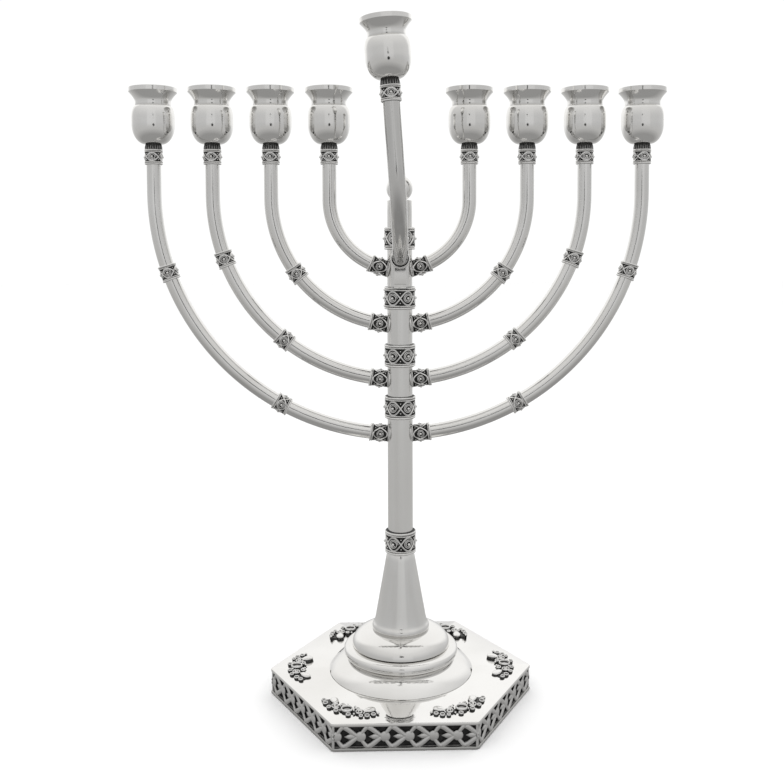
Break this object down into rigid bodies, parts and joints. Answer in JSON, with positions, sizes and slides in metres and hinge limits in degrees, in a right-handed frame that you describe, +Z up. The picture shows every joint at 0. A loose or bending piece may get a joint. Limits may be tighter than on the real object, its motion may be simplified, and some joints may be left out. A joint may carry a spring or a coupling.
{
  "type": "nine-light menorah",
  "caption": "Branched silver candle holder on a hexagonal pierced base, with concentric curved arms, flared cups and a lift-out front arm.",
  "frame": {"origin": "middle of the underside of the base, where the axis of the column meets the table", "axes": "+Z up along the column, +X towards the right-hand branches seen from the front, -Y towards the front, where the helper arm points"},
  "size_m": [0.3009, 0.13, 0.3726],
  "materials": {
    "silver": "polished silver, slightly worn",
    "plate_silver": "mirror-polished silver plate",
    "cast_silver": "cast silver, polished on its high places and blackened in the recesses",
    "filigree": "silver wire filigree and granulation over a blackened ground",
    "black_lining": "matte black",
    "steel": "plain zinc-plated steel"
  },
  "bodies": {
    "stand": {"base_plate": "plate_silver", "bottom_plate": "plate_silver", "base_lining": "black_lining", "base_washer": "steel", "base_nut": "steel", "tie_rod": "steel", "column_plug": "steel", "gallery_panel_1": "cast_silver", "corner_ornament_1": "cast_silver", "gallery_panel_2": "cast_silver", "corner_ornament_2": "cast_silver", "gallery_panel_3": "cast_silver", "corner_ornament_3": "cast_silver", "gallery_panel_4": "cast_silver", "corner_ornament_4": "cast_silver", "gallery_panel_5": "cast_silver", "corner_ornament_5": "cast_silver", "gallery_panel_6": "cast_silver", "corner_ornament_6": "cast_silver", "foot_dome": "silver", "stem_cone": "silver", "column": "silver", "finial_ball": "silver", "stem_band": "filigree", "finial_bead": "filigree", "column_band_1": "filigree", "column_band_2": "filigree", "column_band_3": "filigree", "column_band_4": "filigree", "branch_left_1": "silver", "branch_bands_left_1": "filigree", "cup_left_1": "silver", "branch_left_2": "silver", "branch_bands_left_2": "filigree", "cup_left_2": "silver", "branch_left_3": "silver", "branch_bands_left_3": "filigree", "cup_left_3": "silver", "branch_left_4": "silver", "branch_bands_left_4": "filigree", "cup_left_4": "silver", "branch_right_1": "silver", "branch_bands_right_1": "filigree", "cup_right_1": "silver", "branch_right_2": "silver", "branch_bands_right_2": "filigree", "cup_right_2": "silver", "branch_right_3": "silver", "branch_bands_right_3": "filigree", "cup_right_3": "silver", "branch_right_4": "silver", "branch_bands_right_4": "filigree", "cup_right_4": "silver"},
    "helper": {"helper_tongue": "silver", "helper_collar": "filigree", "helper_tube": "silver", "helper_band": "filigree", "helper_cup": "silver"}
  },
  "joints": [
    {"name": "helper_lift", "type": "slide", "parent": "stand", "child": "helper", "axis": [0, 0, 1], "range_m": [0, 0.0045]}
  ]
}
